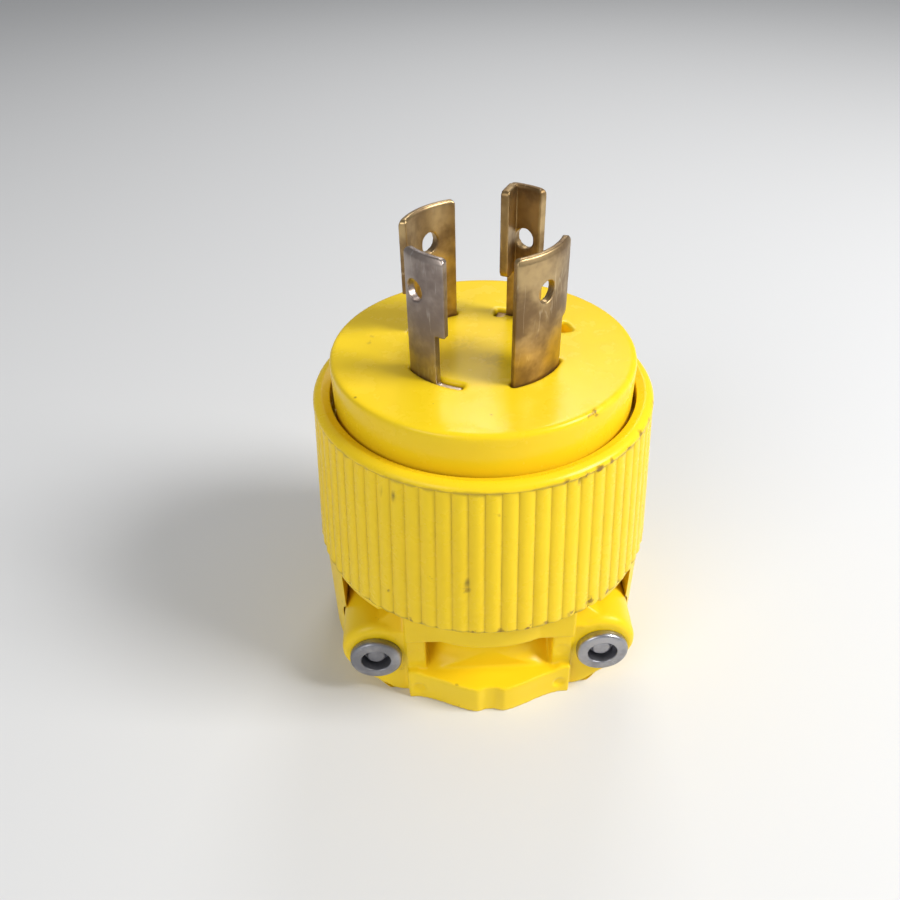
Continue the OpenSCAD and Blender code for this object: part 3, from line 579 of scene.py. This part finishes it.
# The sleeve's section: the radii of its bore, its mouth and the opening in the ledge that
# the face rests on, the ledge's thickness, how far the ribbed side closes in on its way
# up, the crown's height and how far the crown stands out from the side.
BORE, MOUTH, OPENING = 29.48 * MM, 29.75 * MM, 26.05 * MM
LEDGE_THICKNESS = 3 * MM
TAPER = 2.2 * MM
CROWN_HEIGHT, CROWN_PROUD = 1.3 * MM, 0.1 * MM
# The share of the crown's width that its outer quarter round takes, and the share of its
# height at which its eased inner edge ends.
CROWN_OUTER, CROWN_INNER = 0.55, 0.55
# The radius of the rounded lower edge. The ribs fade out from one depth below the shoulder
# to another, and the side stands out a little there.
LOWER_EDGE = 0.35 * MM
FADE_START, FADE_END, FADE_PROUD = 0.6 * MM, 0.1 * MM, 0.04 * MM
# Points on the lower edge, side, fade, crown and inner edge.
EDGE_POINTS, SIDE_POINTS, FADE_POINTS, CROWN_POINTS, INNER_POINTS = 6, 22, 5, 9, 6


def sleeve_section():
    """The sleeve's section as rows of (radius, height, share of the rib's depth), all the
    way round: a quarter circle at the lower edge, a straight side whose radius falls
    evenly with height, the rib's ends, where the share falls as 1 - f^2 (3 - 2 f), the
    crown as a quarter of an ellipse, its inner edge as a quarter of a lower one, then the
    mouth, the ledge and the bore."""
    low, top, rim = SLEEVE_LOW.z, SLEEVE_HIGH.z, FACE_LOW.z
    shoulder = top - CROWN_HEIGHT
    wide, narrow = SLEEVE_HIGH.x, SLEEVE_HIGH.x - TAPER
    quarter = math.pi / 2
    lower = [(wide - LOWER_EDGE * (1 - math.sin(a)), low + LOWER_EDGE * (1 - math.cos(a)),
              math.sin(a)) for a in np.linspace(0, quarter, EDGE_POINTS)]
    side = [(wide - TAPER * (z - low) / (shoulder - low), z, 1.0)
            for z in np.linspace(low + LOWER_EDGE, shoulder - FADE_START, SIDE_POINTS)[1:]]
    ends = [(narrow + FADE_PROUD, shoulder - FADE_START + (FADE_START - FADE_END) * f,
             1 - f * f * (3 - 2 * f)) for f in np.linspace(0, 1, FADE_POINTS)[1:]]
    width = narrow + CROWN_PROUD - MOUTH
    crown = [(MOUTH + width * (1 - CROWN_OUTER * (1 - math.cos(a))),
              shoulder + CROWN_HEIGHT * math.sin(a), 0.0)
             for a in np.linspace(0, quarter, CROWN_POINTS)]
    inner = [(MOUTH + width * (1 - CROWN_OUTER) * math.sin(a),
              shoulder + CROWN_HEIGHT * (CROWN_INNER + (1 - CROWN_INNER) * math.sin(a)), 0.0)
             for a in np.linspace(quarter, 0, INNER_POINTS)[1:]]
    ledge = rim - LEDGE_THICKNESS
    inside = [(MOUTH, rim, 0.0), (OPENING, rim, 0.0), (OPENING, ledge, 0.0),
              (BORE, ledge, 0.0), (BORE, low, 0.0)]
    return np.array(lower + side + ends + crown + inner + inside)


# The shape across a rib, the dirt's gather in the grooves, and how far the mesh's columns
# crowd towards them.
RIB_POWER, GROOVE_POWER, CROWDING = 2.2, 8, 0.6
# Nicks are cut only outside this radius, and their sides are as steep as this power.
OUTSIDE, NICK_POWER = 32 * MM, 4
# Faces that meet at more than this angle keep a sharp edge.
SHARP = math.radians(40)


def grid_mesh(name, points):
    """A smooth closed mesh from a grid of points that runs round on itself both ways:
    each face joins a point to the next in its row and to the two above them."""
    rows, columns = points.shape[:2]
    index = np.arange(rows * columns).reshape(rows, columns)
    above = np.roll(index, -1, 0)
    quads = np.stack([index, np.roll(index, -1, 1), np.roll(above, -1, 1), above], -1)
    mesh = bpy.data.meshes.new(name)
    mesh.vertices.add(rows * columns)
    mesh.vertices.foreach_set("co", points.astype(np.float32).ravel())
    mesh.loops.add(quads.size)
    mesh.loops.foreach_set("vertex_index", quads.astype(np.int32).ravel())
    mesh.polygons.add(rows * columns)
    mesh.polygons.foreach_set("loop_start", np.arange(0, quads.size, 4, dtype=np.int32))
    mesh.update(calc_edges=True)
    mesh.polygons.foreach_set("use_smooth", np.ones(rows * columns, dtype=bool))
    mesh.set_sharp_from_angle(angle=SHARP)
    return mesh


def sleeve_mesh(detail):
    """The ribbed sleeve as one closed grid about the axis: a row for each point of the
    section and a column for each angle. Across a rib, t goes from 0 to 1, and the radius
    falls from the crest by depth x share x |2t - 1|^RIB_POWER. Columns crowd towards the
    grooves, by t = u - CROWDING sin(2 pi u) / 2 pi. A nick takes off its depth times the
    bell exp(-d^NICK_POWER), where d is the distance from it over its radius. The groove
    attribute is share x |2t - 1|^GROOVE_POWER, and the nick attribute the tallest bell."""
    section = sleeve_section()
    radius, height, share = section[:, :1], section[:, 1:2], section[:, 2:]
    columns = detail.rib_count * detail.rib_columns
    u = np.arange(columns) / detail.rib_columns
    t = u - CROWDING * np.sin(2 * np.pi * u) / (2 * np.pi)
    angle = 2 * np.pi * (t - 0.5) / detail.rib_count
    off = np.abs(2 * (t - np.floor(t)) - 1)
    outer = radius > OUTSIDE
    radius = radius - detail.rib_depth * share * off ** RIB_POWER
    height = np.repeat(height, columns, 1)
    nick = np.zeros_like(radius)
    for at, z, size, depth in NICKS:
        turn = (np.degrees(angle) - at + 180) % 360 - 180
        away = np.hypot(np.radians(turn) * radius, height - z * MM) / (size * MM)
        bell = np.exp(-away ** NICK_POWER) * outer
        radius = radius - depth * MM * bell
        nick = np.maximum(nick, bell)
    mesh = grid_mesh("ribbed_sleeve", np.stack(
        [radius * np.cos(angle), radius * np.sin(angle), height], -1))
    for name, values in (("groove", off ** GROOVE_POWER * share), ("nick", nick)):
        made = mesh.attributes.new(name, "FLOAT", "POINT")
        made.data.foreach_set("value", values.astype(np.float32).ravel())
    mesh.validate()
    return mesh


class PLUG_OT_sleeve(bpy.types.Operator):
    """Make the ribbed sleeve with rounded ribs, dirt and painted shade in its grooves, and
    nicks
    """

    bl_idname = "plug.sleeve"
    bl_label = "Ribbed sleeve"

    def execute(self, context):
        nylon = moulded_nylon("yellow_sleeve", context.scene.plug_finish, gloss=0.27,
                              bands=SLEEVE_BANDS, marks=SLEEVE_MARKS, spots=SLEEVE_SPOTS)
        piece("ribbed_sleeve_fine", sleeve_mesh(context.scene.plug_detail), nylon,
              "ribbed_sleeve")
        return {"FINISHED"}


class PLUG_OT_housing(bpy.types.Operator):
    """Finish the rear housing"""

    bl_idname = "plug.housing"
    bl_label = "Rear housing"

    def execute(self, context):
        dress("rear_housing", moulded_nylon(
            "yellow_housing", context.scene.plug_finish, gloss=0.32))
        return {"FINISHED"}


def hollow_middle(mesh):
    """Rounds the flat groove in the middle of the jaw's flange. A vertex moves back by the
    depth times the bell exp(-(x / width)^4), and times two slopes that go from 0 to 1: one
    forwards, from a place in front of the axis, and one down, from the flange's top. All
    are in millimetres."""
    depth, width = 0.45, 1.7
    back, back_slope = -28, 2
    top, top_slope = 8.3, 0.8
    points = np.empty(len(mesh.vertices) * 3, dtype=np.float32)
    mesh.vertices.foreach_get("co", points)
    places = points.reshape(-1, 3)
    x, y, z = places.T / MM
    flange = np.clip((back - y) / back_slope, 0, 1) * np.clip((top - z) / top_slope, 0, 1)
    places[:, 1] += depth * MM * flange * np.exp(-(x / width) ** 4)
    mesh.vertices.foreach_set("co", points)
    mesh.update()


class PLUG_OT_jaw(bpy.types.Operator):
    """Finish the clamp jaw, with soft moulded edges"""

    bl_idname = "plug.jaw"
    bl_label = "Clamp jaw"

    def execute(self, context):
        detail = context.scene.plug_detail
        nylon = moulded_nylon("yellow_jaw", context.scene.plug_finish, gloss=0.3,
                              spots=JAW_STAINS_AND_SHADE)
        jaw = softened("clamp_jaw", nylon, detail.jaw_grid, detail.jaw_rounds)
        hollow_middle(jaw.data)
        return {"FINISHED"}


class PLUG_OT_blades(bpy.types.Operator):
    """Finish the four blades, with the rounded edges of stamped strip"""

    bl_idname = "plug.blades"
    bl_label = "Blades"

    def execute(self, context):
        finish = context.scene.plug_finish
        detail = context.scene.plug_detail
        rubbed_brass = (0.80, 0.68, 0.48)
        plated = worn_metal("plated_blade", finish.plating, tarnish=(0.25, 0.20, 0.18),
                            bright=(0.8, 0.78, 0.76), roughness=0.34)
        brass = worn_metal("brass_blade", finish.brass, tarnish=(0.23, 0.15, 0.08),
                           bright=rubbed_brass, roughness=0.34)
        ground = worn_metal("ground_blade", finish.brass, tarnish=(0.20, 0.12, 0.05),
                            bright=rubbed_brass, roughness=0.36)
        for name, metal in (("blade_neutral", plated), ("blade_line_x", brass),
                            ("blade_line_y", brass), ("blade_ground", ground)):
            softened(name, metal, detail.metal_grid, detail.metal_rounds)
        return {"FINISHED"}


class PLUG_OT_hardware(bpy.types.Operator):
    """Finish the nuts and screws"""

    bl_idname = "plug.hardware"
    bl_label = "Nuts and screws"

    def execute(self, context):
        finish = context.scene.plug_finish
        detail = context.scene.plug_detail
        dull, rubbed = (0.25, 0.25, 0.27), (0.75, 0.75, 0.78)
        nut = worn_metal("zinc_nut", finish.zinc, tarnish=dull, bright=rubbed,
                         roughness=0.34, streak=TURNED)
        screw = worn_metal("zinc_screw", finish.zinc, tarnish=dull, bright=rubbed,
                           roughness=0.38, streak=TURNED)
        for side in ("left", "right"):
            softened("clamp_nut_" + side, nut, detail.metal_grid, detail.metal_rounds)
            dress("clamp_screw_" + side, screw)
        for name in ("assembly_screw_front", "assembly_screw_back"):
            dress(name, screw)
        return {"FINISHED"}


class PLUG_OT_terminals(bpy.types.Operator):
    """Finish the terminal block, the clamp plates and the terminal screws"""

    bl_idname = "plug.terminals"
    bl_label = "Terminals"

    def execute(self, context):
        finish = context.scene.plug_finish
        dress("terminal_block", black_thermoset("dark_block"))
        plated = worn_metal("plated_terminal", finish.plating, tarnish=(0.4, 0.38, 0.37),
                            bright=(0.8, 0.8, 0.8), roughness=0.25)
        brass = worn_metal("brass_terminal", finish.brass, tarnish=(0.5, 0.33, 0.12),
                           bright=(0.85, 0.70, 0.42), roughness=0.25)
        green = worn_metal("green_screw", (0.05, 0.30, 0.10), tarnish=(0.03, 0.2, 0.07),
                           bright=(0.5, 0.5, 0.45), roughness=0.3)
        for pole, plate, screw in (("neutral", plated, plated), ("line_x", brass, brass),
                                   ("line_y", brass, brass), ("ground", brass, green)):
            dress("terminal_clamp_" + pole, plate)
            dress("terminal_screw_" + pole, screw)
        return {"FINISHED"}


# ---- Stage ----


# Lamps: name, place in metres, side of the square in metres, and power in watts.
LAMPS = (("key", (0.55, -0.16, 0.55), 0.28, 5.8),
         ("fill", (-0.50, -0.60, 0.50), 0.50, 2.5),
         ("back", (0.12, 0.62, 0.66), 0.25, 1.4))


def area_lamp(name, at, size, power, towards):
    """A square soft lamp that faces a point."""
    data = bpy.data.lights.new(name, "AREA")
    data.size = size
    data.energy = power
    lamp = bpy.data.objects.new(name, data)
    bpy.context.scene.collection.objects.link(lamp)
    lamp.location = at
    lamp.rotation_euler = (towards - Vector(at)).to_track_quat("-Z", "Y").to_euler()


def stage_camera(stage):
    """The camera. A level one that looks along +Y turns right by the heading and down by
    the pitch, and then rolls about the way it looks."""
    data = bpy.data.cameras.new("camera")
    data.sensor_width = 36.0
    data.lens = stage.lens
    data.clip_start = 0.01
    camera = bpy.data.objects.new("camera", data)
    bpy.context.scene.collection.objects.link(camera)
    turn = Matrix.Rotation(-stage.heading, 3, "Z")
    level = turn @ Vector((1, 0, 0))
    upright = turn @ Vector((0, math.sin(stage.pitch), math.cos(stage.pitch)))
    ahead = turn @ Vector((0, math.cos(stage.pitch), -math.sin(stage.pitch)))
    right = math.cos(stage.roll) * level - math.sin(stage.roll) * upright
    up = math.sin(stage.roll) * level + math.cos(stage.roll) * upright
    axes = Matrix((right, up, -ahead)).transposed()
    camera.matrix_world = Matrix.Translation(stage.camera_at) @ axes.to_4x4()
    bpy.context.scene.camera = camera


def lay_floor(stage):
    """A square pale floor under the plug."""
    half = stage.floor_half
    corners = [(-half, -half, 0), (half, -half, 0), (half, half, 0), (-half, half, 0)]
    mesh = bpy.data.meshes.new("floor")
    mesh.from_pydata(corners, [], [(0, 1, 2, 3)])
    floor = bpy.data.objects.new("floor", mesh)
    bpy.context.scene.collection.objects.link(floor)
    pale, tree, shader, _ = new_material("pale_floor")
    put(tree, shader.inputs["Base Color"], stage.floor)
    shader.inputs["Roughness"].default_value = 0.7
    floor.data.materials.append(pale)


def light_room(stage):
    """An even pale light from all round."""
    world = bpy.data.worlds.new("room")
    world.use_nodes = True
    tree = world.node_tree
    background = tree.nodes["Background"].inputs
    put(tree, background["Color"], stage.room)
    put(tree, background["Strength"], stage.room_strength)
    bpy.context.scene.world = world


class PLUG_OT_stage(bpy.types.Operator):
    """Put the plug on a pale floor under soft lamps, before the camera"""

    bl_idname = "plug.stage"
    bl_label = "Stage"

    def execute(self, context):
        stage = context.scene.plug_stage
        lay_floor(stage)
        centre = (CAD_LOW + CAD_HIGH) / 2
        for name, at, size, power in LAMPS:
            area_lamp(name, at, size, power, centre)
        light_room(stage)
        context.scene.view_settings.view_transform = "Standard"
        stage_camera(stage)
        return {"FINISHED"}


class PLUG_PT_finish(bpy.types.Panel):
    """Lists the plug's settings, its stage and its pieces"""

    bl_label = "Locking power plug"
    bl_idname = "PLUG_PT_finish"
    bl_space_type = "VIEW_3D"
    bl_region_type = "UI"
    bl_category = "Plug"

    def draw(self, context):
        layout = self.layout
        for settings in (context.scene.plug_finish, context.scene.plug_detail,
                         context.scene.plug_stage):
            box = layout.box()
            for name in settings.__annotations__:
                box.prop(settings, name)
        for operator in STEPS:
            layout.operator(operator.bl_idname)


STEPS = (PLUG_OT_stage, PLUG_OT_face, PLUG_OT_sleeve, PLUG_OT_housing, PLUG_OT_jaw,
         PLUG_OT_blades, PLUG_OT_hardware, PLUG_OT_terminals)
GROUPS = {"plug_finish": PlugFinish, "plug_detail": PlugDetail, "plug_stage": PlugStage}


def register():
    """Adds the classes, and the settings that the operators read."""
    for made in (*GROUPS.values(), *STEPS, PLUG_PT_finish):
        bpy.utils.register_class(made)
    for name, made in GROUPS.items():
        setattr(bpy.types.Scene, name, PointerProperty(type=made))


def unregister():
    """Takes the settings and the classes away again."""
    for name in GROUPS:
        delattr(bpy.types.Scene, name)
    for made in (PLUG_PT_finish, *reversed(STEPS), *reversed(GROUPS.values())):
        bpy.utils.unregister_class(made)


def main():
    """Runs every operator in order."""
    register()
    for step in STEPS:
        category, name = step.bl_idname.split(".")
        getattr(getattr(bpy.ops, category), name)()


if __name__ == "__main__":
    main()
